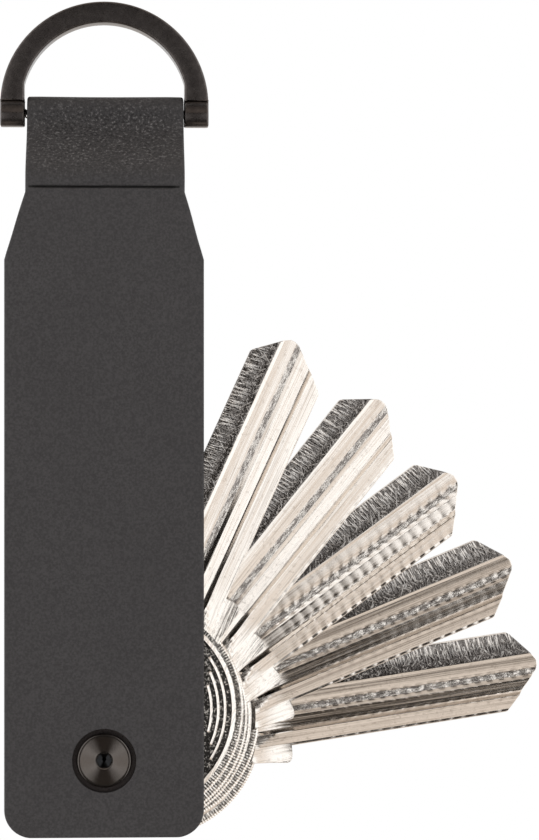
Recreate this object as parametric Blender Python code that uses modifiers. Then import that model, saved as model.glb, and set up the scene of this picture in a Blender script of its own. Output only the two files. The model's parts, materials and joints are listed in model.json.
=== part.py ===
"""Leather key organiser: a strap folded over a D-ring pin, with five key blanks on a screw post.

World frame: +Z up, the front faces -Y, X to the right. The origin is the point where a hook
carries the D-ring, at the top of its opening. All sizes below are in millimetres.
"""
import math

import bpy
import bmesh
from mathutils import Matrix, Vector

MM = 0.001
GAP = 0.3                      # clearance between pieces that touch or turn on each other

# D-ring and its screw pin
RING_INNER_R = 9.12
RING_OUTER_R = 11.43
RING_DEPTH = 3.0
RING_LEG_INNER_X = 8.79
RING_EDGE = 0.3
LUG_R = 1.48
LUG_PROUD = 0.06               # the round lug stands this far out of the leg on each side
PIN_BELOW_ARC = 0.80
PIN_R = 0.55
PIN_HEAD_R = 0.85
PIN_HEAD_LENGTH = 0.8
PIN_SLOT_WIDTH = 0.35
PIN_SLOT_DEPTH = 0.35
ARC_Z = -RING_INNER_R          # centre of the ring's arc; the origin is at the top of the opening
PIN_Z = ARC_Z - PIN_BELOW_ARC
LUG_OUTER_X = RING_OUTER_R - 0.05

# Strap
STRAP_WIDTH = 21.48
LOOP_WIDTH = 17.05
LOOP_OUTER_R = 1.87
LOOP_LEATHER = 1.0             # the strap is skived thinner where it goes round the pin
PANEL_LEATHER = 1.3
POST_BELOW_PIN = 70.4
POST_Z = PIN_Z - POST_BELOW_PIN
STRAP_BOTTOM_Z = POST_Z - 8.3
STRAP_CORNER_R = 3.0
FLARE_START_Z = PIN_Z - 0.5
FLARE_END_Z = PIN_Z - 7.8
SHOULDER_TOP_Z = PIN_Z - 9.2
SHOULDER_BOTTOM_Z = PIN_Z - 16.4

# Keys
KEY_THICKNESS = 2.0
KEY_PITCH = KEY_THICKNESS + GAP
BOW_R = 12.15
BOW_CENTRE = 5.4               # from the hole along the blade
BOW_RECESS_R = 11.2
BOW_RECESS_DEPTH = 0.25
BLADE_HALF = 4.4
KEY_LENGTH = 49.1              # hole to tip
SHOULDER_U = 20.5              # hole to the stop shoulder
HOLE_R = 3.6
HOLE_OFF_BLADE = -0.4          # the hole sits this far off the blade's centre line
HOLE_BOSS_R = 4.7
# For each key, front to back: angle above +X, and how far its loose hole sits off the post,
# along the blade and across it.
KEY_SEATS = [
    (65.6, 0.62, -0.99),
    (51.1, 0.17, -0.45),
    (36.5, 0.09, 0.32),
    (22.3, 0.65, 1.11),
    (8.7, 0.18, 1.08),
]

# Stack through the post, as distances from the middle plane
STACK_HALF = (len(KEY_SEATS) * KEY_PITCH - GAP) / 2
WASHER_THICKNESS = 0.4
WASHER_R = 5.0
LINING_THICKNESS = 0.5
LINING_INSET = 1.0
SEAT_THICKNESS = 0.3
SEAT_R = 5.2
POST_R = 1.9
POST_CLEAR_R = 2.3
BORE_R = 1.4
SHANK_R = 1.15
SHANK_LENGTH = 12.0
HEAD_R = 2.9
HEAD_THICKNESS = 0.55
HEAD_EDGE = 0.12
HEAD_HOLE_R = 3.45
SOCKET_FLATS = 1.5
SOCKET_DEPTH = 1.3
WASHER_IN = STACK_HALF + GAP
LINING_IN = WASHER_IN + WASHER_THICKNESS + GAP
PANEL_IN = LINING_IN + LINING_THICKNESS + GAP
PANEL_OUT = PANEL_IN + PANEL_LEATHER
SEAT_OUT = PANEL_IN + SEAT_THICKNESS
HEAD_IN = SEAT_OUT + GAP
HEAD_OUT = HEAD_IN + HEAD_THICKNESS

ROUND_STEPS = 24               # segments in a full circle of a small round piece


# ---------------------------------------------------------------- scene helpers

def clear_scene():
    for obj in list(bpy.data.objects):
        bpy.data.objects.remove(obj, do_unlink=True)
    for group in list(bpy.data.collections):
        bpy.data.collections.remove(group)


def make_collection(name):
    group = bpy.data.collections.new(name)
    bpy.context.scene.collection.children.link(group)
    return group


def make_material(name, colour, roughness, metallic):
    mat = bpy.data.materials.new(name)
    mat.use_nodes = True
    shader = mat.node_tree.nodes["Principled BSDF"]
    shader.inputs["Base Color"].default_value = (*colour, 1.0)
    shader.inputs["Roughness"].default_value = roughness
    shader.inputs["Metallic"].default_value = metallic
    return mat


def make_object(name, mesh, group, mat=None):
    obj = bpy.data.objects.new(name, mesh)
    group.objects.link(obj)
    if mat:
        mesh.materials.clear()
        mesh.materials.append(mat)
    return obj


def make_cutter(name, mesh, group):
    obj = make_object(name, mesh, group)
    obj.hide_render = True
    obj.display_type = "WIRE"
    return obj


def boolean(obj, cutter, operation):
    mod = obj.modifiers.new(f"{operation.lower()}_{cutter.name}", "BOOLEAN")
    mod.object = cutter
    mod.operation = operation
    mod.solver = "EXACT"


def bevel(obj, width, segments=2, angle=40.0):
    mod = obj.modifiers.new("edge_bevel", "BEVEL")
    mod.width = width * MM
    mod.segments = segments
    mod.limit_method = "ANGLE"
    mod.angle_limit = math.radians(angle)


def smooth(mesh, angle=35.0):
    mesh.shade_smooth()
    mesh.set_sharp_from_angle(angle=math.radians(angle))


# ---------------------------------------------------------------- outlines and solids

def arc(centre, radius, start, end, steps):
    """Points of an arc, in degrees, both ends included."""
    points = []
    for i in range(steps + 1):
        angle = math.radians(start + (end - start) * i / steps)
        points.append((centre[0] + radius * math.cos(angle), centre[1] + radius * math.sin(angle)))
    return points


def circle(centre, radius, steps=ROUND_STEPS):
    return arc(centre, radius, 0.0, 360.0, steps)[:-1]


def plate(name, loops, thickness):
    """A mesh of flat outlines, the later loops being holes, thickened evenly about its plane.

    The outline's first coordinate becomes X and its second Z; the thickness runs along Y.
    """
    curve = bpy.data.curves.new(name, "CURVE")
    curve.dimensions = "2D"
    curve.fill_mode = "BOTH"
    curve.extrude = thickness * MM / 2
    for loop in loops:
        spline = curve.splines.new("POLY")
        spline.points.add(len(loop) - 1)
        spline.use_cyclic_u = True
        for point, (a, b) in zip(spline.points, loop):
            point.co = (a * MM, b * MM, 0.0, 1.0)
    holder = bpy.data.objects.new(name + "_outline", curve)
    bpy.context.scene.collection.objects.link(holder)
    depsgraph = bpy.context.evaluated_depsgraph_get()
    mesh = bpy.data.meshes.new_from_object(holder.evaluated_get(depsgraph))
    bpy.data.objects.remove(holder, do_unlink=True)
    bpy.data.curves.remove(curve)
    mesh.name = name
    work = bmesh.new()
    work.from_mesh(mesh)
    bmesh.ops.remove_doubles(work, verts=work.verts, dist=1e-6)
    bmesh.ops.recalc_face_normals(work, faces=work.faces)
    work.to_mesh(mesh)
    work.free()
    mesh.transform(Matrix.Rotation(math.radians(90), 4, "X"))
    return mesh


def turned(name, profile, axis, group, mat=None, steps=ROUND_STEPS, first_angle=0.0):
    """A turned solid about X or Y from (radius, position along the axis) pairs, top to bottom.

    A profile that doesn't start on the axis is closed on itself, which makes a ring. The first
    angle, in degrees, keeps a cutter's corners off the corners of the piece that it cuts.
    """
    mesh = bpy.data.meshes.new(name)
    verts = [(r * MM, 0.0, h * MM) for r, h in profile]
    edges = [(i, i + 1) for i in range(len(verts) - 1)]
    if profile[0][0] > 0:
        edges.append((len(verts) - 1, 0))
    mesh.from_pydata(verts, edges, [])
    mesh.transform(Matrix.Rotation(math.radians(first_angle), 4, "Z"))
    obj = make_object(name, mesh, group, mat)
    mod = obj.modifiers.new("turn", "SCREW")
    mod.steps = steps
    mod.render_steps = steps
    mod.use_merge_vertices = True
    mod.merge_threshold = 1e-6
    mod.use_smooth_shade = True
    if axis == "X":
        obj.rotation_euler = (0.0, math.radians(90), 0.0)
    else:
        obj.rotation_euler = (math.radians(-90), 0.0, 0.0)
    return obj


# ---------------------------------------------------------------- D-ring

def ring_outline():
    """Outer and inner loop of the D, legs straight down to below the pin."""
    leg_z = PIN_Z
    outer = arc((0, ARC_Z), RING_OUTER_R, 0, 180, 28)
    outer = [(min(max(x, -LUG_OUTER_X), LUG_OUTER_X), z) for x, z in outer]
    inner = arc((0, ARC_Z), RING_INNER_R, 180, 0, 24)
    inner = [(min(max(x, -RING_LEG_INNER_X), RING_LEG_INNER_X), z) for x, z in inner]
    left = [(-LUG_OUTER_X, leg_z), (-RING_LEG_INNER_X, leg_z)]
    right = [(RING_LEG_INNER_X, leg_z), (LUG_OUTER_X, leg_z)]
    return outer + left + inner + right


def build_ring(parts, cutters, mat):
    mesh = plate("d_ring", [ring_outline()], RING_DEPTH)
    smooth(mesh)
    ring = make_object("d_ring", mesh, parts, mat)
    bevel(ring, RING_EDGE, segments=1, angle=60.0)
    lug_width = LUG_OUTER_X - RING_LEG_INNER_X + 2 * LUG_PROUD
    for side, label in ((-1, "left"), (1, "right")):
        x = side * (LUG_OUTER_X + RING_LEG_INNER_X) / 2
        half = lug_width / 2
        profile = [(0, half), (LUG_R, half), (LUG_R, -half), (0, -half)]
        lug = turned(f"lug_{label}", profile, "X", cutters, steps=24)
        lug.location = (x * MM, 0.0, PIN_Z * MM)
        lug.hide_render = True
        lug.display_type = "WIRE"
        boolean(ring, lug, "UNION")
    past = RING_OUTER_R + 2.0
    hole = [(0, past), (PIN_R + GAP, past), (PIN_R + GAP, -past), (0, -past)]
    pin_hole = turned("pin_hole", hole, "X", cutters, steps=20, first_angle=4.0)
    head_end = -LUG_OUTER_X + PIN_HEAD_LENGTH + GAP
    sink_r = PIN_HEAD_R + GAP
    sink = [(0, head_end), (sink_r, head_end), (sink_r, -past - 1), (0, -past - 1)]
    head_sink = turned("pin_head_sink", sink, "X", cutters, steps=20, first_angle=7.0)
    for cutter in (pin_hole, head_sink):
        cutter.location = (0.0, 0.0, PIN_Z * MM)
        cutter.hide_render = True
        cutter.display_type = "WIRE"
        boolean(ring, cutter, "DIFFERENCE")


def build_pin(parts, cutters, mat):
    """Screw pin: a slotted head at the left lug and a plain shank across to the right lug."""
    head_out = -LUG_OUTER_X + 0.1
    head_in = head_out + PIN_HEAD_LENGTH
    tip = LUG_OUTER_X - 0.2
    profile = [(0, tip), (PIN_R - 0.15, tip), (PIN_R, tip - 0.15), (PIN_R, head_in),
               (PIN_HEAD_R, head_in), (PIN_HEAD_R, head_out + 0.1), (PIN_HEAD_R - 0.1, head_out),
               (0, head_out)]
    pin = turned("ring_pin", profile, "X", parts, mat, steps=24)
    pin.location = (0.0, 0.0, PIN_Z * MM)
    slot = box_mesh("pin_slot", (head_out, 0, PIN_Z),
                    (2 * PIN_SLOT_DEPTH, 4 * PIN_HEAD_R, PIN_SLOT_WIDTH))
    boolean(pin, make_cutter("pin_slot", slot, cutters), "DIFFERENCE")


def box_mesh(name, centre, size):
    mesh = bpy.data.meshes.new(name)
    work = bmesh.new()
    bmesh.ops.create_cube(work, size=1.0)
    bmesh.ops.scale(work, vec=Vector(size) * MM, verts=work.verts)
    bmesh.ops.translate(work, vec=Vector(centre) * MM, verts=work.verts)
    work.to_mesh(mesh)
    work.free()
    return mesh


# ---------------------------------------------------------------- strap

def strap_half(steps=14):
    """Outer face of the folded strap and its thickness, from the panel's end up to the pin.

    Each point is (distance from the middle plane, height, leather thickness).
    """
    points = [(PANEL_OUT, STRAP_BOTTOM_Z, PANEL_LEATHER), (PANEL_OUT, FLARE_END_Z, PANEL_LEATHER)]
    for i in range(1, steps + 1):
        t = i / steps
        ease = t * t * (3 - 2 * t)
        z = FLARE_END_Z + (FLARE_START_Z - FLARE_END_Z) * t
        y = PANEL_OUT + (LOOP_OUTER_R - PANEL_OUT) * ease
        points.append((y, z, PANEL_LEATHER + (LOOP_LEATHER - PANEL_LEATHER) * ease))
    return points


def strap_profile():
    """Closed side profile of the whole strap as (y, z) pairs, front panel on -Y."""
    half = strap_half()
    outer = [(-y, z) for y, z, _ in half]
    outer += arc((0, PIN_Z), LOOP_OUTER_R, 180, 0, 16)
    outer += [(y, z) for y, z, _ in reversed(half)]
    inner_half = []
    for i, (y, z, leather) in enumerate(half):
        before = half[max(i - 1, 0)]
        after = half[min(i + 1, len(half) - 1)]
        run = Vector((after[0] - before[0], after[1] - before[1])).normalized()
        if i <= 1:
            run = Vector((0.0, 1.0))
        inner_half.append((y - run.y * leather, z + run.x * leather))
    inner = list(inner_half)
    inner += arc((0, PIN_Z), LOOP_OUTER_R - LOOP_LEATHER, 0, 180, 12)
    inner += [(-y, z) for y, z in reversed(inner_half)]
    return outer + inner


def strap_outline(inset=0.0, top_z=None):
    """Front view of the strap, or of a layer set in from its edges that ends at top_z."""
    half = STRAP_WIDTH / 2 - inset
    neck = LOOP_WIDTH / 2 - inset
    bottom = STRAP_BOTTOM_Z + inset
    radius = STRAP_CORNER_R - inset
    top = PIN_Z + LOOP_OUTER_R + 1.0 if top_z is None else top_z
    right = arc((half - radius, bottom + radius), radius, -90, 0, 8)
    right += [(half, SHOULDER_BOTTOM_Z - 0.5), (half - 0.15, SHOULDER_BOTTOM_Z + 0.2)]
    right += [(neck + 0.1, SHOULDER_TOP_Z - 0.2), (neck, SHOULDER_TOP_Z + 0.3), (neck, top)]
    left = [(-x, z) for x, z in reversed(right)]
    return right + left


def build_strap(parts, cutters, mat):
    mesh = plate("leather_strap", [strap_profile()], STRAP_WIDTH + 1.0)
    mesh.transform(Matrix.Rotation(math.radians(90), 4, "Z"))
    smooth(mesh, 50.0)
    strap = make_object("leather_strap", mesh, parts, mat)
    outline = plate("strap_outline", [strap_outline()], 4 * PANEL_OUT)
    boolean(strap, make_cutter("strap_outline", outline, cutters), "INTERSECT")
    head_hole = [(0, PANEL_OUT + 1), (HEAD_HOLE_R, PANEL_OUT + 1), (HEAD_HOLE_R, HEAD_IN),
                 (SEAT_R + GAP, HEAD_IN), (SEAT_R + GAP, PANEL_IN - 1), (0, PANEL_IN - 1)]
    for side, label in ((-1, "front"), (1, "back")):
        cutter = turned(f"head_hole_{label}", head_hole, "Y", cutters)
        face_outwards(cutter, side)
        cutter.hide_render = True
        cutter.display_type = "WIRE"
        boolean(strap, cutter, "DIFFERENCE")


def face_outwards(obj, side):
    """Put a turned piece on the post's axis, with its profile's top towards -Y or +Y."""
    obj.rotation_euler = (math.radians(-90 * side), 0.0, 0.0)
    obj.location = (0.0, 0.0, POST_Z * MM)


def build_lining(parts, side, name, mat):
    hole = circle((0, POST_Z), POST_CLEAR_R + 0.3)
    outline = strap_outline(LINING_INSET, SHOULDER_TOP_Z)
    mesh = plate(name, [outline, hole], LINING_THICKNESS)
    smooth(mesh, 50.0)
    lining = make_object(name, mesh, parts, mat)
    lining.location = (0.0, side * (LINING_IN + LINING_THICKNESS / 2) * MM, 0.0)


# ---------------------------------------------------------------- screw post

def ring_profile(outer, inner, top, bottom, edge):
    """Profile of a flat ring, as a closed loop that starts at the bottom of its bore."""
    return [(inner, bottom), (inner, top), (outer - edge, top), (outer, top - edge),
            (outer, bottom + edge), (outer - edge, bottom)]


def build_seat(parts, side, name, mat):
    profile = ring_profile(SEAT_R, POST_CLEAR_R, SEAT_OUT, PANEL_IN, 0.05)
    face_outwards(turned(name, profile, "Y", parts, mat), side)


def build_washer(parts, side, name, mat):
    profile = ring_profile(WASHER_R, POST_CLEAR_R, WASHER_IN + WASHER_THICKNESS, WASHER_IN, 0.08)
    face_outwards(turned(name, profile, "Y", parts, mat), side)


def build_post_barrel(parts, mat):
    """Flanged barrel: its head sits in the back panel and its bore is open at the front."""
    mouth = -(LINING_IN + LINING_THICKNESS)
    bore_end = HEAD_IN - 2.0
    profile = [(0, HEAD_OUT), (HEAD_R - HEAD_EDGE, HEAD_OUT), (HEAD_R, HEAD_OUT - HEAD_EDGE),
               (HEAD_R, HEAD_IN), (POST_R, HEAD_IN), (POST_R, mouth + 0.2),
               (POST_R - 0.2, mouth), (BORE_R, mouth), (BORE_R, bore_end - 0.7), (0, bore_end)]
    face_outwards(turned("post_barrel", profile, "Y", parts, mat), 1)


def build_post_screw(parts, cutters, mat):
    tip = HEAD_IN - SHANK_LENGTH
    profile = [(0, HEAD_OUT), (HEAD_R - HEAD_EDGE, HEAD_OUT), (HEAD_R, HEAD_OUT - HEAD_EDGE),
               (HEAD_R, HEAD_IN), (SHANK_R, HEAD_IN), (SHANK_R, tip + 0.3),
               (SHANK_R - 0.3, tip), (0, tip)]
    screw = turned("post_screw", profile, "Y", parts, mat)
    face_outwards(screw, -1)
    corner_r = SOCKET_FLATS / math.sqrt(3)
    socket = plate("hex_socket", [arc((0, POST_Z), corner_r, 0, 300, 5)], 2 * SOCKET_DEPTH)
    cutter = make_cutter("hex_socket", socket, cutters)
    cutter.location = (0.0, -HEAD_OUT * MM, 0.0)
    boolean(screw, cutter, "DIFFERENCE")


# ---------------------------------------------------------------- keys

def key_outline():
    """Bow, neck, stop shoulder and blade, about the hole's centre; +second axis is the spine."""
    c = (BOW_CENTRE, -HOLE_OFF_BLADE)
    mid = c[1]
    spine_angle = math.degrees(math.asin(BLADE_HALF / BOW_R))
    neck_angle = -math.degrees(math.asin(5.6 / BOW_R))
    points = arc(c, BOW_R, spine_angle, 360 + neck_angle, 28)
    points += [(SHOULDER_U - 0.5, mid - 6.3), (SHOULDER_U - 0.1, mid - 6.1)]
    points += [(SHOULDER_U, mid - 5.7), (SHOULDER_U, mid - BLADE_HALF)]
    tip = KEY_LENGTH
    points += [(tip - 4.05, mid - BLADE_HALF), (tip - 3.75, mid - 4.1), (tip - 0.2, mid - 0.25)]
    points += [(tip, mid + 0.3), (tip, mid + 0.95), (tip - 0.55, mid + 1.72)]
    points += [(tip - 2.6, mid + BLADE_HALF - 0.2), (tip - 2.9, mid + BLADE_HALF)]
    return points


def key_blank_mesh():
    return plate("key_blank", [key_outline(), circle((0, 0), HOLE_R, 18)], KEY_THICKNESS)


def bow_recess_mesh():
    """Pocket cut in each face of the bow, leaving the rim and a boss round the hole."""
    c = (BOW_CENTRE, -HOLE_OFF_BLADE)
    rim = circle(c, BOW_RECESS_R, 28)
    loops = [rim, circle((0, 0), HOLE_BOSS_R, 18)]
    return plate("bow_recess", loops, 2 * BOW_RECESS_DEPTH)


def groove_section(face):
    """Milled profile of one face of the blade as (across, depth) pairs; face is -1 or +1."""
    top = KEY_THICKNESS / 2
    if face < 0:
        cut = [(1.80, top), (0.10, 0.28), (-0.60, 0.24), (-1.02, 0.42),
               (-2.15, 0.16), (-2.45, 0.28), (-2.72, 0.80), (-4.60, 0.22)]
    else:
        cut = [(4.60, 0.80), (3.40, 0.80), (3.10, 0.55), (1.75, 0.55), (1.45, top)]
    top += 0.4
    return [(cut[0][0], top)] + cut + [(cut[-1][0], top)]


def groove_mesh(face):
    """Cutter for one face: the milled section run along the blade from the neck past the tip."""
    start = SHOULDER_U + 2.0
    length = KEY_LENGTH + 2.0 - start
    mid = -HOLE_OFF_BLADE
    section = [(face * depth, across + mid) for across, depth in groove_section(face)]
    mesh = plate("blade_groove", [section], length)
    mesh.transform(Matrix.Rotation(math.radians(-90), 4, "Z"))
    work = bmesh.new()
    work.from_mesh(mesh)
    bmesh.ops.translate(work, vec=((start + length / 2) * MM, 0, 0), verts=work.verts)
    bmesh.ops.recalc_face_normals(work, faces=work.faces)
    work.to_mesh(mesh)
    work.free()
    return mesh


def finished_key_mesh(cutters):
    """One key blank, cut and made into a plain mesh that all five keys are copied from."""
    blank = make_object("key_blank", key_blank_mesh(), cutters)
    tools = []
    for face in (-1, 1):
        recess = make_cutter(f"bow_recess_{face}", bow_recess_mesh(), cutters)
        recess.location = (0.0, face * KEY_THICKNESS / 2 * MM, 0.0)
        groove = make_cutter(f"blade_groove_{face}", groove_mesh(face), cutters)
        tools += [recess, groove]
    for tool in tools:
        boolean(blank, tool, "DIFFERENCE")
    bpy.context.view_layer.update()
    depsgraph = bpy.context.evaluated_depsgraph_get()
    mesh = bpy.data.meshes.new_from_object(blank.evaluated_get(depsgraph))
    for obj in [blank] + tools:
        bpy.data.objects.remove(obj, do_unlink=True)
    mesh.name = "key"
    return mesh


def build_keys(parts, cutters, mat):
    """Each key turns about the post: its empty lies on the post's axis and carries the angle."""
    blank = finished_key_mesh(cutters)
    middle = (len(KEY_SEATS) - 1) / 2
    for i, (angle, along, across) in enumerate(KEY_SEATS):
        pivot = bpy.data.objects.new(f"key_{i + 1}_axis", None)
        pivot.empty_display_size = 0.004
        pivot.location = (0.0, (i - middle) * KEY_PITCH * MM, POST_Z * MM)
        pivot.rotation_euler = (0.0, math.radians(-angle), 0.0)
        parts.objects.link(pivot)
        mesh = blank.copy()
        smooth(mesh, 30.0)
        key = make_object(f"key_{i + 1}", mesh, parts, mat)
        key.parent = pivot
        key.location = (along * MM, 0.0, across * MM)


# ---------------------------------------------------------------- assembly

def build():
    clear_scene()
    parts = make_collection("key_organiser")
    cutters = make_collection("cutters")
    black_metal = make_material("black_satin_metal", (0.030, 0.026, 0.026), 0.38, 0.6)
    steel = make_material("turned_steel", (0.50, 0.49, 0.48), 0.28, 1.0)
    dark_steel = make_material("pin_steel", (0.18, 0.17, 0.17), 0.35, 1.0)
    leather = make_material("black_leather", (0.055, 0.051, 0.052), 0.62, 0.0)
    suede = make_material("lining_leather", (0.035, 0.033, 0.033), 0.85, 0.0)
    nylon = make_material("black_nylon", (0.03, 0.03, 0.03), 0.5, 0.0)
    nickel = make_material("nickel_plate", (0.74, 0.71, 0.67), 0.25, 1.0)

    build_ring(parts, cutters, black_metal)
    build_pin(parts, cutters, dark_steel)
    build_strap(parts, cutters, leather)
    for side, label in ((-1, "front"), (1, "back")):
        build_lining(parts, side, f"lining_{label}", suede)
        build_seat(parts, side, f"seat_{label}", black_metal)
        build_washer(parts, side, f"washer_{label}", nylon)
    build_post_barrel(parts, steel)
    build_post_screw(parts, cutters, steel)
    build_keys(parts, cutters, nickel)


build()
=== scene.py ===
import json
import math

import bpy
import bmesh
import numpy as np
from mathutils import Matrix, Vector


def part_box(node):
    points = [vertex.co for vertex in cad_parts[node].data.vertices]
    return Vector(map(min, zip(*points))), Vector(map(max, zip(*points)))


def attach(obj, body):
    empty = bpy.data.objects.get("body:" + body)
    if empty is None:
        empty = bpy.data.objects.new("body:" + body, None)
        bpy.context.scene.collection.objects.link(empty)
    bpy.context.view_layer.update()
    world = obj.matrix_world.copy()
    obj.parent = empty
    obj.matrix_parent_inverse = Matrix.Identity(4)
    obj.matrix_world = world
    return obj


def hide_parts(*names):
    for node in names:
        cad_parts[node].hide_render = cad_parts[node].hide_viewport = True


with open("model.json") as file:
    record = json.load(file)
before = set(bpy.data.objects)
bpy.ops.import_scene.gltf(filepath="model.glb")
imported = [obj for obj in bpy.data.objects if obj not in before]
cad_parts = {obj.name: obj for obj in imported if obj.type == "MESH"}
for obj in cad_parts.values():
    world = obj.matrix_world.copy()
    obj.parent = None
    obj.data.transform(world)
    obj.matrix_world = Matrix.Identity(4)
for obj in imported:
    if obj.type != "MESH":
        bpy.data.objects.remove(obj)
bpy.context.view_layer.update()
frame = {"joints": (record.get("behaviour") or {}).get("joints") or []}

MM = 0.001

# ---------------------------------------------------------------- places read from the frame, in mm

JOINTS = {joint["name"]: joint for joint in frame["joints"]}


def corners(node):
    low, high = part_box(node)
    return Vector(low) / MM, Vector(high) / MM


STRAP_LOW, STRAP_HIGH = corners("leather_strap")
RING_LOW, RING_HIGH = corners("d_ring")
HEAD_LOW, HEAD_HIGH = corners("post_screw")
BARREL_LOW = corners("post_barrel")[0]
PIN_Z = JOINTS["strap_swing"]["pos_m"][2] / MM
POST_Z = JOINTS["key_1_turn"]["pos_m"][2] / MM
PANEL_OUT = STRAP_HIGH.y                       # outer face of each panel from the middle plane
STRAP_HALF = STRAP_HIGH.x
LOOP_R = STRAP_HIGH.z - PIN_Z
HEAD_OUT = -HEAD_LOW.y

# Sizes that the frame's boxes don't give. They are the CAD model's, but for two: the loop is
# 0.05 mm wider to each side here, and the CAD model has no crease.
LOOP_HALF = 8.58
LOOP_LEATHER = 1.0
PANEL_LEATHER = 1.3
PANEL_IN = PANEL_OUT - PANEL_LEATHER
CORNER_R = 3.0
FLARE_TOP = PIN_Z - 0.5
FLARE_BOTTOM = PIN_Z - 7.8
CREASE_Z = PIN_Z - 8.63
SHOULDER_TOP = PIN_Z - 9.2
SHOULDER_BOTTOM = PIN_Z - 16.4
HEAD_R = 2.9
HEAD_HOLE_R = 3.45
HEAD_THICKNESS = 0.55
POST_R = 1.9
SHANK_R = 1.15
RING_CLEAR_R = 2.3             # inside of the seat rings and washers
LINING_HOLE_R = 2.6
SOCKET_FLATS = 1.5
SOCKET_DEPTH = 1.3

# ---------------------------------------------------------------- camera, light and floor

CAMERA_DISTANCE = 350.0        # from the front panel's face
CAMERA_X = 1.5                 # the camera stands almost straight in front of the strap
CENTRE_X = 17.8                # and is turned so that this place is in the middle of the view
CENTRE_ABOVE_POST = 36.67
VIEW_HEIGHT = 90.46            # what the frame's height covers at the front panel
FLOOR_Z = -150.0
FLOOR_R = 450.0


def make_camera():
    data = bpy.data.cameras.new("camera")
    data.sensor_width = 36.0
    data.lens = CAMERA_DISTANCE / VIEW_HEIGHT * data.sensor_width
    data.clip_start = 0.01
    data.clip_end = 10.0
    camera = bpy.data.objects.new("camera", data)
    bpy.context.scene.collection.objects.link(camera)
    place = Vector((CAMERA_X, -PANEL_OUT - CAMERA_DISTANCE, POST_Z + CENTRE_ABOVE_POST))
    camera.location = place * MM
    turn = math.atan2(CENTRE_X - CAMERA_X, CAMERA_DISTANCE)
    camera.rotation_euler = (math.radians(90), 0, -turn)
    bpy.context.scene.camera = camera


class Graph:
    """A small helper to write a node tree: each call makes one node and links its inputs."""

    def __init__(self, tree):
        self.tree = tree
        tree.nodes.clear()

    def node(self, kind, inputs=None, **settings):
        made = self.tree.nodes.new(kind)
        for name, value in settings.items():
            setattr(made, name, value)
        for key, value in (inputs or {}).items():
            socket = made.inputs[key]
            if isinstance(value, bpy.types.NodeSocket):
                self.tree.links.new(value, socket)
            else:
                socket.default_value = value
        return made

    def math(self, operation, a, b=0.0):
        return self.node("ShaderNodeMath", {0: a, 1: b}, operation=operation).outputs[0]

    def step(self, value, low, high, to_low=0.0, to_high=1.0):
        """Smooth step of value from low to high, mapped to to_low..to_high."""
        made = self.node("ShaderNodeMapRange",
                         {"Value": value, "From Min": low, "From Max": high,
                          "To Min": to_low, "To Max": to_high},
                         interpolation_type="SMOOTHSTEP")
        return made.outputs["Result"]

    def mix(self, factor, a, b):
        made = self.node("ShaderNodeMix", {0: factor}, data_type="RGBA")
        for socket, value in ((made.inputs[6], a), (made.inputs[7], b)):
            if isinstance(value, bpy.types.NodeSocket):
                self.tree.links.new(value, socket)
            else:
                socket.default_value = (*value, 1.0)
        return made.outputs[2]


def make_world():
    """A light tent: white to both sides, warm and dim low in front, dark round the lens."""
    world = bpy.data.worlds.new("studio")
    bpy.context.scene.world = world
    world.use_nodes = True
    g = Graph(world.node_tree)
    coords = g.node("ShaderNodeTexCoord")
    axes = g.node("ShaderNodeSeparateXYZ", {0: coords.outputs["Generated"]})
    x, y, z = axes.outputs
    out = g.math("ABSOLUTE", x)
    down = g.math("MAXIMUM", g.math("MULTIPLY", z, -1.0), 0.0)
    up = g.math("MAXIMUM", z, 0.05)
    slant = g.math("ADD", g.math("MULTIPLY", g.math("MAXIMUM", down, 0.05), 0.6),
                   g.math("MULTIPLY", up, 0.4))
    inside = g.step(g.math("SUBTRACT", out, slant), 0.035, 0.105)
    panel = g.math("ADD", g.step(out, 0.42, 0.52, 1.32, 0.84), g.step(out, 0.62, 0.78, 0.0, 0.42))
    side = g.math("MULTIPLY", inside, panel)
    low = g.math("ADD", g.step(down, 0.44, 0.86, 0.0, 0.80), g.step(down, 0.88, 1.0, 0.0, -0.2))
    high = g.math("ADD", g.step(z, 0.48, 0.62, 0.0, 0.5), g.step(z, 0.70, 0.95, 0.0, 0.35))
    behind = g.step(y, -0.05, 0.6, 0.0, 0.9)
    level = g.math("MAXIMUM", g.math("MAXIMUM", side, low), g.math("MAXIMUM", high, behind))
    level = g.math("ADD", level, 0.03)
    dim = g.mix(g.step(level, 0.08, 0.55), (1.0, 0.84, 0.70), (1.0, 0.90, 0.81))
    colour = g.mix(g.step(level, 0.84, 1.06), dim, (1.0, 1.0, 1.0))
    light = g.node("ShaderNodeBackground", {"Color": colour, "Strength": level})
    plain = g.node("ShaderNodeBackground", {"Color": (1, 1, 1, 1), "Strength": 1.0})
    path = g.node("ShaderNodeLightPath")
    mixed = g.node("ShaderNodeMixShader", {0: path.outputs["Is Camera Ray"],
                                           1: light.outputs[0], 2: plain.outputs[0]})
    g.node("ShaderNodeOutputWorld", {"Surface": mixed.outputs[0]})


def make_floor():
    mesh = bpy.data.meshes.new("floor")
    work = bmesh.new()
    bmesh.ops.create_circle(work, cap_ends=True, segments=96, radius=FLOOR_R * MM)
    work.to_mesh(mesh)
    work.free()
    floor = bpy.data.objects.new("floor", mesh)
    bpy.context.scene.collection.objects.link(floor)
    floor.location = Vector((CENTRE_X, 0, FLOOR_Z)) * MM
    floor.visible_glossy = False       # so that the blades mirror the light tent below them
    mat = bpy.data.materials.new("floor")
    mat.use_nodes = True
    shader = mat.node_tree.nodes["Principled BSDF"]
    shader.inputs["Base Color"].default_value = (0.84, 0.87, 0.90, 1)
    shader.inputs["Roughness"].default_value = 0.8
    mesh.materials.append(mat)


# ---------------------------------------------------------------- materials

def new_material(name):
    mat = bpy.data.materials.new(name)
    mat.use_nodes = True
    return mat, Graph(mat.node_tree)


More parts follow.
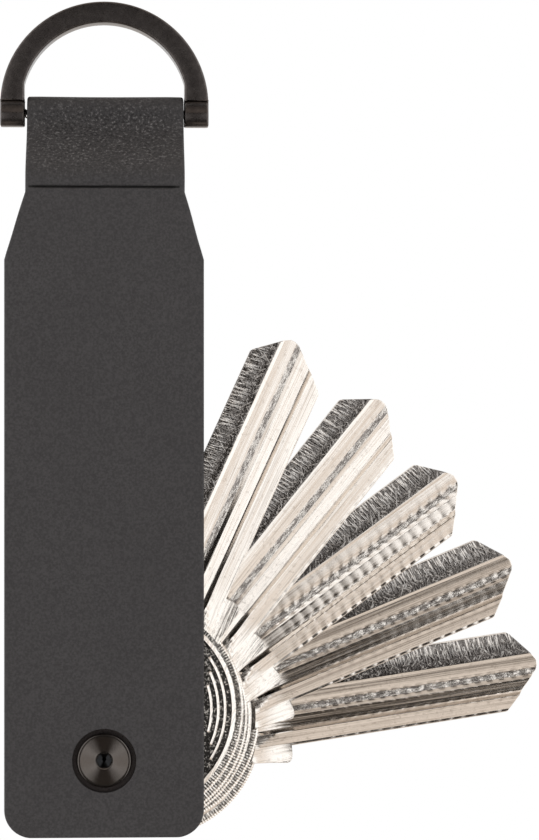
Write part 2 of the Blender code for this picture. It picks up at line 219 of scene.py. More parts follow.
def object_mm(g):
    """Object coordinates in millimetres."""
    coords = g.node("ShaderNodeTexCoord")
    scaled = g.node("ShaderNodeVectorMath", {0: coords.outputs["Object"], "Scale": 1 / MM},
                    operation="SCALE")
    return scaled.outputs[0]


def key_mm(g):
    """Object coordinates in millimetres, shifted for each key so that no two wear alike."""
    shift = g.node("ShaderNodeAttribute", attribute_name="grain_shift").outputs["Vector"]
    return g.node("ShaderNodeVectorMath", {0: object_mm(g), 1: shift}).outputs[0]


def stretched(g, vector, factors):
    made = g.node("ShaderNodeVectorMath", {0: vector, 1: factors}, operation="MULTIPLY")
    return made.outputs[0]


def noise(g, vector, scale, detail=2.0, roughness=0.5):
    inputs = {"Vector": vector, "Scale": scale, "Detail": detail, "Roughness": roughness}
    return g.node("ShaderNodeTexNoise", inputs).outputs[0]


def bump(g, height, distance, strength=1.0, normal=None):
    """Bump from a height of 0..1, with its distance in millimetres."""
    inputs = {"Height": height, "Strength": strength, "Distance": distance * MM}
    if normal is not None:
        inputs["Normal"] = normal
    return g.node("ShaderNodeBump", inputs).outputs[0]


def finish_material(g, **inputs):
    names = {"base": "Base Color", "metallic": "Metallic", "roughness": "Roughness",
             "normal": "Normal", "specular": "Specular IOR Level", "sheen": "Sheen Weight",
             "sheen_roughness": "Sheen Roughness"}
    shader = g.node("ShaderNodeBsdfPrincipled")
    for key, value in inputs.items():
        socket = shader.inputs[names[key]]
        if isinstance(value, bpy.types.NodeSocket):
            g.tree.links.new(value, socket)
        elif isinstance(value, tuple):
            socket.default_value = (*value, 1.0)
        else:
            socket.default_value = value
    g.node("ShaderNodeOutputMaterial", {"Surface": shader.outputs[0]})


def leather_material():
    """Matt black full-grain leather: a fine even grain, coarse and speckled where it bends."""
    mat, g = new_material("black_leather")
    place = object_mm(g)
    axes = g.node("ShaderNodeSeparateXYZ", {0: place})
    bend = g.step(axes.outputs[2], CREASE_Z - 0.2, CREASE_Z + 4.5)
    top = g.step(axes.outputs[2], PIN_Z + 1.5, PIN_Z - 1.0, 0.4, 1.0)
    middle = g.step(g.math("ABSOLUTE", axes.outputs[0]), 9.5, 4.5, 0.5, 1.0)
    bend = g.math("MULTIPLY", g.math("MULTIPLY", bend, middle), top)
    cells = g.node("ShaderNodeTexVoronoi", {"Vector": place, "Scale": 2.9},
                   feature="SMOOTH_F1").outputs["Distance"]
    pores = noise(g, place, 4.2, 3.0, 0.65)
    coarse = noise(g, place, 3.2, 2.0, 0.7)
    specks = g.step(coarse, 0.56, 0.67)
    pits = g.step(coarse, 0.47, 0.37)
    cloud = noise(g, place, 0.12, 2.0)
    base = g.mix(cloud, (0.050, 0.047, 0.049), (0.063, 0.060, 0.062))
    base = g.mix(g.step(pores, 0.35, 0.62, 0.0, 0.66), base, (0.031, 0.030, 0.0315))
    # Painted shade: above the crease the strap turns up towards the light, and is painted darker so
    # that it looks no brighter than the panel
    base = g.mix(g.step(axes.outputs[2], CREASE_Z - 0.1, CREASE_Z + 2.0, 0.0, 0.35), base,
                 (0.026, 0.025, 0.026))
    base = g.mix(g.math("MULTIPLY", specks, bend), base, (0.150, 0.146, 0.148))
    base = g.mix(g.math("MULTIPLY", g.math("MULTIPLY", pits, bend), 0.9), base,
                 (0.012, 0.011, 0.012))
    # Painted shade: a near-black line along the pressed crease, across the strap and short of its
    # edges
    fold = g.math("ABSOLUTE", g.math("SUBTRACT", axes.outputs[2], CREASE_Z))
    across = g.step(g.math("ABSOLUTE", axes.outputs[0]), LOOP_HALF - 0.35, LOOP_HALF - 0.55)
    base = g.mix(g.math("MULTIPLY", g.step(fold, 0.17, 0.06), across), base,
                 (0.003, 0.003, 0.003))
    rough = g.step(pores, 0.3, 0.7, 0.56, 0.76)
    fine = bump(g, g.math("ADD", cells, g.math("MULTIPLY", pores, 0.8)), 0.060, 0.6)
    grain = bump(g, g.math("MULTIPLY", coarse, bend), 0.17, 0.9, fine)
    finish_material(g, base=base, roughness=rough, normal=grain, specular=0.35)
    return mat


def leather_edge_material():
    """Dark burnished edge paint, a little glossier than the grain side."""
    mat, g = new_material("painted_edge")
    place = object_mm(g)
    streaks = noise(g, stretched(g, place, (3.0, 9.0, 1.2)), 1.0, 3.0)
    base = g.mix(streaks, (0.004, 0.004, 0.004), (0.010, 0.0095, 0.0095))
    rough = g.step(streaks, 0.3, 0.7, 0.38, 0.6)
    finish_material(g, base=base, roughness=rough, normal=bump(g, streaks, 0.05, 0.6))
    return mat


def suede_material():
    mat, g = new_material("lining_suede")
    place = object_mm(g)
    nap = noise(g, place, 5.0, 4.0, 0.7)
    brushed = noise(g, stretched(g, place, (1.0, 1.0, 0.25)), 1.1, 3.0)
    base = g.mix(g.math("ADD", g.math("MULTIPLY", nap, 0.5), g.math("MULTIPLY", brushed, 0.5)),
                 (0.018, 0.017, 0.017), (0.060, 0.056, 0.055))
    finish_material(g, base=base, roughness=0.95, normal=bump(g, nap, 0.10, 0.8),
                    specular=0.15, sheen=0.35, sheen_roughness=0.5)
    return mat


def black_metal_material():
    """Satin black plating: soft cast texture, worn thinner and brighter on the edges."""
    mat, g = new_material("black_plating")
    place = object_mm(g)
    cast = noise(g, place, 1.6, 4.0, 0.6)
    grit = noise(g, place, 11.0, 2.0, 0.6)
    wear = g.node("ShaderNodeAttribute", attribute_name="edge_wear").outputs["Fac"]
    worn = g.math("MULTIPLY", wear, g.step(cast, 0.25, 0.75, 0.35, 1.0))
    base = g.mix(cast, (0.046, 0.040, 0.039), (0.060, 0.052, 0.050))
    base = g.mix(worn, base, (0.15, 0.135, 0.128))
    rough = g.step(grit, 0.3, 0.7, 0.26, 0.33)
    finish_material(g, base=base, metallic=1.0, roughness=rough,
                    normal=bump(g, grit, 0.004, 0.5))
    return mat


def turned_steel_material(name, base, dark):
    mat, g = new_material(name)
    place = object_mm(g)
    stain = noise(g, place, 1.1, 4.0, 0.6)
    grit = noise(g, place, 16.0, 2.0, 0.6)
    colour = g.mix(stain, base, dark)
    rough = g.step(grit, 0.3, 0.7, 0.13, 0.22)
    finish_material(g, base=colour, metallic=1.0, roughness=rough,
                    normal=bump(g, grit, 0.006, 0.5))
    return mat


def nylon_material():
    mat, g = new_material("black_nylon")
    place = object_mm(g)
    mould = noise(g, place, 4.0, 3.0)
    base = g.mix(mould, (0.020, 0.020, 0.021), (0.034, 0.034, 0.035))
    finish_material(g, base=base, roughness=g.step(mould, 0.3, 0.7, 0.42, 0.56),
                    normal=bump(g, mould, 0.01, 0.4))
    return mat


def nickel_facet_material():
    """Nickel on milled facets: fine tool lines along the blade."""
    mat, g = new_material("nickel_milled")
    place = key_mm(g)
    lines = noise(g, stretched(g, place, (0.07, 1.0, 4.2)), 1.0, 3.0, 0.6)
    spots = noise(g, place, 2.2, 3.0)
    base = g.mix(g.step(spots, 0.55, 0.75), (0.88, 0.83, 0.775), (0.70, 0.65, 0.60))
    base = g.mix(g.step(lines, 0.50, 0.34, 0.0, 0.50), base, (0.50, 0.45, 0.40))
    rough = g.step(lines, 0.3, 0.7, 0.12, 0.22)
    finish_material(g, base=base, metallic=1.0, roughness=rough,
                    normal=bump(g, lines, 0.045, 0.7))
    return mat


def scratch_mask(g, place, angle, across, along, low, high):
    """Short straight strokes at an angle to the blade: 1 on a stroke, 0 between them."""
    turned = g.node("ShaderNodeVectorRotate", {"Vector": place, "Angle": math.radians(angle)},
                    rotation_type="Y_AXIS").outputs[0]
    return g.step(noise(g, stretched(g, turned, (across, 1.0, along)), 1.0, 1.5, 0.5), low, high)


def nickel_flat_material():
    """Nickel on the flat land: dark polished ground, with scratches that catch the light.

    They are short and square to the blade along its spine, and lie every way further in.
    """
    mat, g = new_material("nickel_scratched")
    place = key_mm(g)
    here = g.node("ShaderNodeSeparateXYZ", {0: object_mm(g)}).outputs[2]
    spine = BLADE_HALF + BLADE_MID
    near_spine = g.step(here, spine - 2.2, spine - 0.3)
    leaning = g.node("ShaderNodeVectorRotate", {"Vector": place, "Angle": math.radians(7)},
                     rotation_type="Y_AXIS").outputs[0]
    strokes = noise(g, stretched(g, leaning, (4.4, 1.0, 0.5)), 1.0, 2.0, 0.6)
    comb = g.math("MULTIPLY", g.step(strokes, 0.51, 0.57), near_spine)
    slanted = scratch_mask(g, place, 48.0, 4.4, 0.8, 0.60, 0.67)
    crossed = scratch_mask(g, place, -37.0, 4.2, 0.7, 0.61, 0.68)
    dents = noise(g, place, 4.2, 2.5, 0.75)
    loose = g.math("MAXIMUM", g.math("MAXIMUM", slanted, crossed), g.step(dents, 0.60, 0.68))
    mark = g.math("MAXIMUM", comb, g.math("MULTIPLY", loose, 0.42))
    base = g.mix(mark, (0.22, 0.205, 0.195), (1.0, 0.97, 0.93))
    rough = g.step(mark, 0.0, 1.0, 0.10, 0.36)
    cut = g.math("MULTIPLY", strokes, near_spine)
    height = g.math("ADD", cut, g.math("MULTIPLY", g.math("ADD", loose, dents), 0.13))
    finish_material(g, base=base, metallic=1.0, roughness=rough,
                    normal=bump(g, height, 0.15, 0.9))
    return mat


def nickel_floor_material():
    """Nickel on a milled groove floor: coarse broken chatter."""
    mat, g = new_material("nickel_chatter")
    place = key_mm(g)
    tears = noise(g, stretched(g, place, (1.0, 1.0, 3.6)), 1.0, 3.0, 0.7)
    base = g.mix(g.step(tears, 0.40, 0.58), (0.36, 0.33, 0.31), (0.86, 0.82, 0.77))
    finish_material(g, base=base, metallic=1.0, roughness=0.24,
                    normal=bump(g, tears, 0.10, 0.8))
    return mat


def nickel_blasted_material():
    """Nickel in the bow's pocket: dark sand-blasted ground with bright grains."""
    mat, g = new_material("nickel_blasted")
    place = key_mm(g)
    fine = noise(g, place, 3.6, 3.0, 0.75)
    grain = g.step(fine, 0.53, 0.64)
    base = g.mix(grain, (0.055, 0.052, 0.050), (0.85, 0.82, 0.78))
    finish_material(g, base=base, metallic=1.0, roughness=0.36,
                    normal=bump(g, fine, 0.16, 0.9))
    return mat


def nickel_reeded_material():
    """Nickel on the bow's rim and edge: dark crosswise file marks."""
    mat, g = new_material("nickel_reeded")
    place = key_mm(g)
    marks = noise(g, place, 3.0, 3.0, 0.7)
    base = g.mix(g.step(marks, 0.42, 0.60), (0.26, 0.245, 0.23), (0.84, 0.80, 0.75))
    finish_material(g, base=base, metallic=1.0, roughness=0.22,
                    normal=bump(g, marks, 0.03, 0.7))
    return mat


def make_materials():
    return {
        "leather": leather_material(),
        "edge": leather_edge_material(),
        "suede": suede_material(),
        "black": black_metal_material(),
        "steel": turned_steel_material("turned_steel", (0.122, 0.108, 0.099),
                                       (0.094, 0.085, 0.078)),
        # Painted shade: the hex socket's walls are the head's steel painted much darker, for the
        # shade inside the socket
        "socket": turned_steel_material("socket_painted_shade", (0.030, 0.030, 0.031),
                                        (0.010, 0.011, 0.012)),
        "pin": turned_steel_material("pin_steel", (0.80, 0.77, 0.74), (0.34, 0.32, 0.31)),
        "nylon": nylon_material(),
        "facet": nickel_facet_material(),
        "flat": nickel_flat_material(),
        "floor": nickel_floor_material(),
        "blasted": nickel_blasted_material(),
        "reeded": nickel_reeded_material(),
    }


# ---------------------------------------------------------------- mesh helpers

def grid_faces(rows, columns, wrap=False):
    """Quads of a grid of rows x columns vertices, numbered row by row."""
    i = np.arange(rows - 1)[:, None] * columns
    last = columns if wrap else columns - 1
    j = np.arange(last)[None, :]
    nxt = (j + 1) % columns
    quads = np.stack([i + j, i + nxt, i + columns + nxt, i + columns + j], axis=-1)
    return quads.reshape(-1, 4)


def weld(verts, faces, indices):
    """Joins vertices in the same place and drops what that leaves of collapsed faces."""
    keys = np.round(verts / 0.0004).astype(np.int64)
    _, first, inverse = np.unique(keys, axis=0, return_index=True, return_inverse=True)
    inverse = inverse.reshape(-1)
    kept, kept_indices = [], []
    for face, index in zip(faces, indices):
        loop = [int(v) for v in inverse[list(face)]]
        loop = [v for k, v in enumerate(loop) if v != loop[k - 1]]
        if len(set(loop)) == len(loop) >= 3:
            kept.append(loop)
            kept_indices.append(int(index))
    return verts[first], kept, kept_indices


def mesh_from(name, verts, faces, indices=None):
    """Mesh from millimetre vertices, welded, with its faces turned outwards."""
    if indices is None:
        indices = np.zeros(len(faces))
    verts, faces, indices = weld(np.asarray(verts, float), faces, indices)
    mesh = bpy.data.meshes.new(name)
    mesh.from_pydata((verts * MM).tolist(), [], faces)
    mesh.polygons.foreach_set("material_index", np.array(indices, np.int32))
    work = bmesh.new()
    work.from_mesh(mesh)
    bmesh.ops.recalc_face_normals(work, faces=work.faces)
    work.to_mesh(mesh)
    work.free()
    return mesh


def make_slots(mesh, count):
    """Exactly this many material slots, without touching the faces' slot numbers."""
    while len(mesh.materials) < count:
        mesh.materials.append(None)
    while len(mesh.materials) > count:
        mesh.materials.pop()


def add_piece(name, mesh, body, mats, nodes=(), angle=35.0, matrix=None):
    """Puts a finished mesh in the scene as a piece that rides on a body."""
    obj = bpy.data.objects.new(name, mesh)
    bpy.context.scene.collection.objects.link(obj)
    if matrix is not None:
        obj.matrix_world = matrix
    make_slots(mesh, len(mats))
    for index, mat in enumerate(mats):
        mesh.materials[index] = mat
    mesh.shade_smooth()
    mesh.set_sharp_from_angle(angle=math.radians(angle))
    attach(obj, body)
    if nodes:
        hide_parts(*nodes)
    return obj


MOST_SLOTS = 5                 # the most materials that one piece has


def bool_mesh(mesh, tools, operation="DIFFERENCE"):
    """The mesh after exact booleans with each tool mesh; the tools are used up."""
    scene = bpy.context.scene.collection
    for used in [mesh] + list(tools):
        make_slots(used, MOST_SLOTS)
    obj = bpy.data.objects.new("work", mesh)
    scene.objects.link(obj)
    helpers = []
    for tool in tools:
        helper = bpy.data.objects.new("tool", tool)
        scene.objects.link(helper)
        mod = obj.modifiers.new("cut", "BOOLEAN")
        mod.object = helper
        mod.operation = operation
        mod.solver = "EXACT"
        helpers.append(helper)
    bpy.context.view_layer.update()
    made = bpy.data.meshes.new_from_object(
        obj.evaluated_get(bpy.context.evaluated_depsgraph_get()))
    for item in [obj] + helpers:
        bpy.data.objects.remove(item, do_unlink=True)
    return made


def turned_mesh(name, profile, steps=96):
    """Turned solid about local Z from (radius, height) pairs, closed on the axis or on itself."""
    profile = np.asarray(profile, float)
    angles = np.arange(steps) * 2 * math.pi / steps
    ring = np.stack([np.cos(angles), np.sin(angles)], axis=-1)
    verts = np.concatenate([profile[:, None, 0:1] * ring[None],
                            np.repeat(profile[:, None, 1:2], steps, axis=1)], axis=-1)
    faces = grid_faces(len(profile), steps, wrap=True)
    return mesh_from(name, verts.reshape(-1, 3), faces)


def closed(profile):
    """A profile that goes back to its first point, for a ring."""
    return list(profile) + [profile[0]]


def about_post(side):
    """Local Z to the outward direction of the front (-1) or back (+1) panel, on the post."""
    turn = Matrix.Rotation(math.radians(-90 * side), 4, "X")
    return Matrix.Translation((0, 0, POST_Z * MM)) @ turn


def about_pin():
    """Local Z to +X, on the ring's pin."""
    return Matrix.Translation((0, 0, PIN_Z * MM)) @ Matrix.Rotation(math.radians(90), 4, "Y")


# ---------------------------------------------------------------- strap

def smooth01(t):
    t = np.clip(t, 0.0, 1.0)
    return t * t * (3 - 2 * t)


def strap_path():
    """Rows of the strap's outer face from the panel's lower end to the top of the loop.

    Returns arrays (distance from the middle plane, height, thickness), dense at the crease.
    """
    low = STRAP_LOW.z
    bottom = low + CORNER_R * (1 - np.cos(np.linspace(0, math.pi / 2, 14)))
    panel = np.linspace(low + CORNER_R, CREASE_Z - 1.2, 90)[1:]
    crease = np.linspace(CREASE_Z - 1.2, FLARE_BOTTOM, 44)[1:]
    y = [np.full(len(bottom) + len(panel) + len(crease), PANEL_OUT)]
    z = [bottom, panel, crease]
    thick = [np.full(len(y[0]), PANEL_LEATHER)]
    t = np.linspace(0, 1, 60)[1:]
    ease = smooth01(t)
    y.append(PANEL_OUT + (LOOP_R - PANEL_OUT) * ease)
    z.append(FLARE_BOTTOM + (FLARE_TOP - FLARE_BOTTOM) * t)
    thick.append(PANEL_LEATHER + (LOOP_LEATHER - PANEL_LEATHER) * ease)
    turn = np.linspace(0, math.pi / 2, 26)[1:]
    y.append(LOOP_R * np.cos(turn))
    z.append(PIN_Z + LOOP_R * np.sin(turn))
    thick.append(np.full(len(turn), LOOP_LEATHER))
    return np.concatenate(y), np.concatenate(z), np.concatenate(thick)


def half_width(z):
    """Half width of the strap at a height: round corners, straight panel, shoulder, neck."""
    low = STRAP_LOW.z
    up = np.clip(z - low, 0.0, CORNER_R)
    corner = CORNER_R - np.sqrt(np.maximum(CORNER_R ** 2 - (CORNER_R - up) ** 2, 0.0))
    shoulder = np.clip((z - SHOULDER_BOTTOM) / (SHOULDER_TOP - SHOULDER_BOTTOM), 0.0, 1.0)
    eased = shoulder + 0.012 * np.sin(2 * math.pi * shoulder)
    return STRAP_HALF - corner - (STRAP_HALF - LOOP_HALF) * eased


def crease_depth(x, z):
    """Depth of the pressed line across the strap, and of the faint second line above it."""
    reach = 8.0
    wander = 0.05 * np.sin(0.8 * x + 0.4) + 0.03 * np.sin(2.3 * x)
    end = smooth01((reach - np.abs(x)) / 0.5)
    main = 0.24 * np.exp(-((z - CREASE_Z - 0.6 * wander) / 0.15) ** 2) * end
    lip = -0.05 * np.exp(-((z - CREASE_Z + 0.38) / 0.20) ** 2) * end
    part = smooth01((x + 3.0) / 1.2) * smooth01((6.0 - x) / 1.2)
    second = 0.07 * np.exp(-((z - CREASE_Z - 0.42 - wander) / 0.09) ** 2) * part
    return main + lip + second


def strap_mesh():
    """The whole folded strap: outer and inner face as one grid each, joined along the edges."""
    y_half, z_half, t_half = strap_path()
    y = np.concatenate([-y_half, y_half[-2::-1]])
    z = np.concatenate([z_half, z_half[-2::-1]])
    thick = np.concatenate([t_half, t_half[-2::-1]])
    dy, dz = np.gradient(y), np.gradient(z)
    length = np.hypot(dy, dz)
    ny, nz = -dz / length, dy / length
    ny[0], nz[0], ny[-1], nz[-1] = -1.0, 0.0, 1.0, 0.0
    edge = 0.28
    inset = np.concatenate([[0.0, 0.06, 0.14, 0.28, 0.60], np.linspace(1.0, 10.0, 24)])
    width = half_width(z)
    rows = len(y)
    span = []
    for w in width:
        scale = min(1.0, w / 10.3)
        left = -w + inset * scale
        span.append(np.concatenate([left, [0.0], -left[::-1]]))
    x = np.array(span)
    from_edge = width[:, None] - np.abs(x)
    x += 0.10 * smooth01((z - SHOULDER_BOTTOM) / 9.0)[:, None]
    ends = np.minimum(z - STRAP_LOW.z, 50.0)[:, None]
    from_edge = np.minimum(from_edge, ends + 0.0 * x)
    round_in = edge - np.sqrt(np.maximum(edge ** 2 - np.maximum(edge - from_edge, 0.0) ** 2, 0.0))
    zz = np.repeat(z[:, None], x.shape[1], axis=1)
    waves = 0.035 * np.sin(0.31 * x + 0.17 * zz) * np.sin(0.23 * zz + 0.9)
    drop = crease_depth(x, zz) + round_in + waves * smooth01(from_edge / 2.0)
    outer = np.stack([x, y[:, None] - ny[:, None] * drop, zz - nz[:, None] * drop], axis=-1)
    back = thick[:, None] - 0.5 * round_in
    inner = np.stack([x, y[:, None] - ny[:, None] * back, zz - nz[:, None] * back], axis=-1)
    cols = x.shape[1]
    sheet = grid_faces(rows, cols)
    verts = np.concatenate([outer.reshape(-1, 3), inner.reshape(-1, 3)])
    offset = rows * cols
    faces = [sheet, sheet[:, ::-1] + offset]
    rims = []
    for i in range(rows - 1):
        for j in (0, cols - 1):
            a, b = i * cols + j, (i + 1) * cols + j
            rims.append([a, b, b + offset, a + offset])
    for j in range(cols - 1):
        for i in (0, rows - 1):
            a, b = i * cols + j, i * cols + j + 1
            rims.append([a, a + offset, b + offset, b])
    faces.append(np.array(rims))
    indices = np.concatenate([np.zeros(len(sheet)), np.full(len(sheet), 2), np.ones(len(rims))])
    return mesh_from("strap", verts, np.concatenate(faces), indices)


def head_hole_tool(side):
    profile = [(0, PANEL_OUT + 1), (HEAD_HOLE_R, PANEL_OUT + 1), (HEAD_HOLE_R, PANEL_OUT - 0.75),
               (5.5, PANEL_OUT - 0.75), (5.5, PANEL_IN - 1), (0, PANEL_IN - 1)]
    tool = turned_mesh("hole_tool", profile)
    tool.transform(about_post(side))
    return tool


def make_strap(mats):
    mesh = bool_mesh(strap_mesh(), [head_hole_tool(-1), head_hole_tool(1)])
    add_piece("strap", mesh, "case", [mats["leather"], mats["edge"], mats["suede"]],
              ["leather_strap"], angle=50.0)


# ---------------------------------------------------------------- ring and its pin

def set_point_attribute(mesh, name, values):
    layer = mesh.attributes.new(name, "FLOAT", "POINT")
    layer.data.foreach_set("value", np.asarray(values, np.float32))


RING_IN_R = 9.12
RING_OUT_R = RING_HIGH.z + RING_IN_R
LEG_IN = 8.79
LUG_R = PIN_Z - RING_LOW.z
RING_FILLET = 0.22
LUG_END_FILLET = 0.22
SECTION_STEPS = 5              # segments in each rounded corner of the ring's section
PIN_BORE_R = 0.64
PIN_SINK_R = 0.98
# How deep the ring is below its flat face: a notch, then the round lug on the pin's centre
LUG_STEP = [(0.0, 1.30), (0.12, 1.27), (0.45, 1.10), (0.85, 0.99), (1.12, 0.97), (1.22, 1.02),
            (1.30, 1.30), (1.36, 1.42), (1.44, 1.5)]


def ring_stations():
    """Stations along the D: centre, outward direction, half width, half depth, fillet."""
    arc_z = -RING_IN_R
    stations = []
    leg = np.concatenate([np.linspace(0.02, 0.35, 7), np.linspace(0.5, LUG_R, 8),
                          LUG_R + np.linspace(0.05, 1.1, 10), LUG_R + np.linspace(1.14, 1.46, 9)])
    heights = [p[0] for p in LUG_STEP]
    depths = [p[1] for p in LUG_STEP]
    for up in leg:
        z = PIN_Z - LUG_R + up
        below = min(max(PIN_Z - z, 0.0) / LUG_R, 1.0)
        depth = float(np.interp(z - PIN_Z, heights, depths)) * (1 - below ** 3.4) ** (1 / 3.4)
        corner = max(0.0, LUG_END_FILLET - up)
        pull = LUG_END_FILLET - math.sqrt(LUG_END_FILLET ** 2 - corner ** 2)
        half = (RING_OUT_R - LEG_IN) / 2 + 0.03 - pull
        x = (RING_OUT_R + LEG_IN) / 2 - 0.01
        stations.append((x, z, 0.0, half, depth, min(RING_FILLET, 0.8 * depth)))
    start = math.asin((PIN_Z + LUG_STEP[-1][0] + 0.06 - arc_z) / RING_OUT_R)
    for angle in np.linspace(start, math.pi / 2, 64):
        inner = min(RING_IN_R, LEG_IN / max(math.cos(angle), 1e-6))
        half = (RING_OUT_R - inner) / 2
        middle = (RING_OUT_R + inner) / 2
        stations.append((middle * math.cos(angle), arc_z + middle * math.sin(angle), angle,
                         half, RING_HIGH.y, RING_FILLET))
    mirrored = [(-x, z, math.pi - a, h, d, f) for x, z, a, h, d, f in stations[-2::-1]]
    return stations + mirrored


def rounded_section(half, depth, fillet):
    """Rounded rectangle as (outward, y) pairs."""
    points = []
    corners_at = [(half - fillet, -depth + fillet, -90), (half - fillet, depth - fillet, 0),
                  (-half + fillet, depth - fillet, 90), (-half + fillet, -depth + fillet, 180)]
    for cx, cy, start in corners_at:
        for k in range(SECTION_STEPS + 1):
            a = math.radians(start + 90 * k / SECTION_STEPS)
            points.append((cx + fillet * math.cos(a), cy + fillet * math.sin(a)))
    return points


def ring_mesh():
    verts = []
    for x, z, angle, half, depth, fillet in ring_stations():
        for out, y in rounded_section(half, depth, min(fillet, depth * 0.9, half * 0.9)):
            verts.append((x + out * math.cos(angle), y, z + out * math.sin(angle)))
    count = 4 * (SECTION_STEPS + 1)
    rows = len(verts) // count
    faces = [list(f) for f in grid_faces(rows, count, wrap=True)]
    faces.append(list(range(count)))
    faces.append(list(range((rows - 1) * count, rows * count)))
    return mesh_from("ring", verts, faces)


def wear_from_edges(mesh, reach):
    """Marks the vertices of a mesh's convex edges, for the worn edge of a plating."""
    work = bmesh.new()
    work.from_mesh(mesh)
    values = []
    for vert in work.verts:
        bend = 0.0
        for edge in vert.link_edges:
            if len(edge.link_faces) == 2:
                bend = max(bend, edge.calc_face_angle_signed(0.0))
        values.append(min(max(bend / math.radians(reach), 0.0), 1.0))
    work.free()
    set_point_attribute(mesh, "edge_wear", values)


def make_ring(mats):
    past = RING_OUT_R + 2.0
    bore = turned_mesh("bore", [(0, past), (PIN_BORE_R, past), (PIN_BORE_R, -past),
                                (0, -past)], 40)
    sink_end = -RING_OUT_R + 1.1
    sink = turned_mesh("sink", [(0, -past), (PIN_SINK_R, -past), (PIN_SINK_R, sink_end),
                                (0, sink_end)], 48)
    for tool in (bore, sink):
        tool.transform(about_pin())
    mesh = bool_mesh(ring_mesh(), [bore, sink])
    wear_from_edges(mesh, 22.0)
    add_piece("ring", mesh, "ring", [mats["black"]], ["d_ring"], angle=32.0)


def pin_mesh():
    """Slotted screw pin: thread near both lugs, plain shank between them, head at the left."""
    low, high = corners("ring_pin")
    radius = 0.55
    pitch = 0.32
    head_in = low.x + 0.8
    x = np.concatenate([np.linspace(head_in, -7.6, 80), np.linspace(-7.2, 7.2, 12),
                        np.linspace(7.6, high.x - 0.12, 84)])
    steps = 36
    angle = np.arange(steps) * 2 * math.pi / steps
    phase = (x[:, None] / pitch - angle[None, :] / (2 * math.pi)) % 1.0
    tooth = np.abs(2 * phase - 1)
    threaded = smooth01((np.abs(x) - 7.6) / 0.3)[:, None]
    r = radius - 0.13 * tooth * threaded
    r[-1] *= 0.82
    shank = np.stack([x[:, None] + 0 * r, r * np.cos(angle), r * np.sin(angle)], axis=-1)
    head = []
    profile = [(low.x, 0.0), (low.x, 0.30), (low.x, 0.72), (low.x + 0.04, 0.81),
               (low.x + 0.10, 0.85), (head_in - 0.05, 0.85), (head_in, 0.80), (head_in, 0.56)]
    for hx, hr in profile:
        head.append(np.stack([np.full(steps, hx), hr * np.cos(angle), hr * np.sin(angle)], -1))
    rows = np.concatenate([np.array(head), shank, np.array([[[high.x, 0, 0]] * steps])])
    faces = grid_faces(len(rows), steps, wrap=True)
    mesh = mesh_from("pin", rows.reshape(-1, 3), faces)
    mesh.transform(Matrix.Translation((0, 0, PIN_Z * MM)))
    return mesh


def box_tool(centre, size):
    mesh = bpy.data.meshes.new("box_tool")
    work = bmesh.new()
    bmesh.ops.create_cube(work, size=1.0)
    bmesh.ops.scale(work, vec=Vector(size) * MM, verts=work.verts)
    bmesh.ops.translate(work, vec=Vector(centre) * MM, verts=work.verts)
    work.to_mesh(mesh)
    work.free()
    return mesh


def make_pin(mats):
    low = corners("ring_pin")[0]
    slot = box_tool((low.x, 0, PIN_Z), (0.7, 3.0, 0.33))
    mesh = bool_mesh(pin_mesh(), [slot])
    add_piece("pin", mesh, "ring", [mats["pin"]], ["ring_pin"], angle=30.0)


# ---------------------------------------------------------------- screw post and its rings

def turned_head_profile(inner_r):
    """Head face from the bore outwards: fine concentric tool marks, then a small chamfer."""
    face = HEAD_OUT
    points = [(inner_r, face - 0.10), (inner_r + 0.10, face)]
    pitch = 0.11
    r = inner_r + 0.14
    while r + pitch < HEAD_R - 0.18:
        points += [(r, face - 0.005), (r + pitch * 0.5, face - 0.0195)]
        r += pitch
    points += [(HEAD_R - 0.15, face - 0.005), (HEAD_R - 0.05, face - 0.03),
               (HEAD_R, face - 0.10), (HEAD_R, face - HEAD_THICKNESS)]
    return points


def hex_tool(flats, depth):
    """Hexagonal socket cutter with a conical floor, along the screw's axis."""
    corner = flats / math.sqrt(3)
    rows = []
    angle = np.radians(np.arange(6) * 60.0)
    for r, z in ((0.0, HEAD_OUT + 1), (corner, HEAD_OUT + 1), (corner, HEAD_OUT - depth),
                 (0.25, HEAD_OUT - depth - 0.15), (0.10, HEAD_OUT - depth - 0.02),
                 (0.0, HEAD_OUT - depth + 0.02)):
        rows.append(np.stack([r * np.cos(angle), r * np.sin(angle), np.full(6, z)], axis=-1))
    verts = np.array(rows)
    faces = grid_faces(len(rows), 6, wrap=True)
    # Its faces take slot 1, the steel painted dark as shade inside the socket
    return mesh_from("hex_tool", verts.reshape(-1, 3), faces, np.ones(len(faces)))


def make_screw(mats):
    tip = HEAD_HIGH.y
    head = turned_head_profile(0.86)
    profile = [(0, HEAD_OUT - 0.10)] + head
    profile += [(SHANK_R, HEAD_OUT - HEAD_THICKNESS)]
    z = HEAD_OUT - HEAD_THICKNESS - 2.0
    while z > -tip + 0.6:
        profile += [(SHANK_R, z), (1.02, z - 0.12)]
        z -= 0.24
    profile += [(1.0, -tip + 0.3), (0.85, -tip), (0, -tip)]
    mesh = bool_mesh(turned_mesh("screw", profile, 120), [hex_tool(SOCKET_FLATS, SOCKET_DEPTH)])
    mesh.transform(about_post(-1))
    add_piece("screw", mesh, "case", [mats["steel"], mats["socket"]],
              ["post_screw"], angle=20.0)


def make_barrel(mats):
    mouth = BARREL_LOW.y
    head = turned_head_profile(0.30)
    profile = [(0, HEAD_OUT - 0.10)] + head
    profile += [(POST_R, HEAD_OUT - HEAD_THICKNESS), (POST_R, mouth + 0.2), (1.7, mouth),
                (1.4, mouth), (1.36, mouth + 1.0), (1.36, 5.4), (0, 6.0)]
    mesh = turned_mesh("barrel", profile, 120)
    mesh.transform(about_post(1))
    add_piece("barrel", mesh, "case", [mats["steel"]], ["post_barrel"],
              angle=20.0)


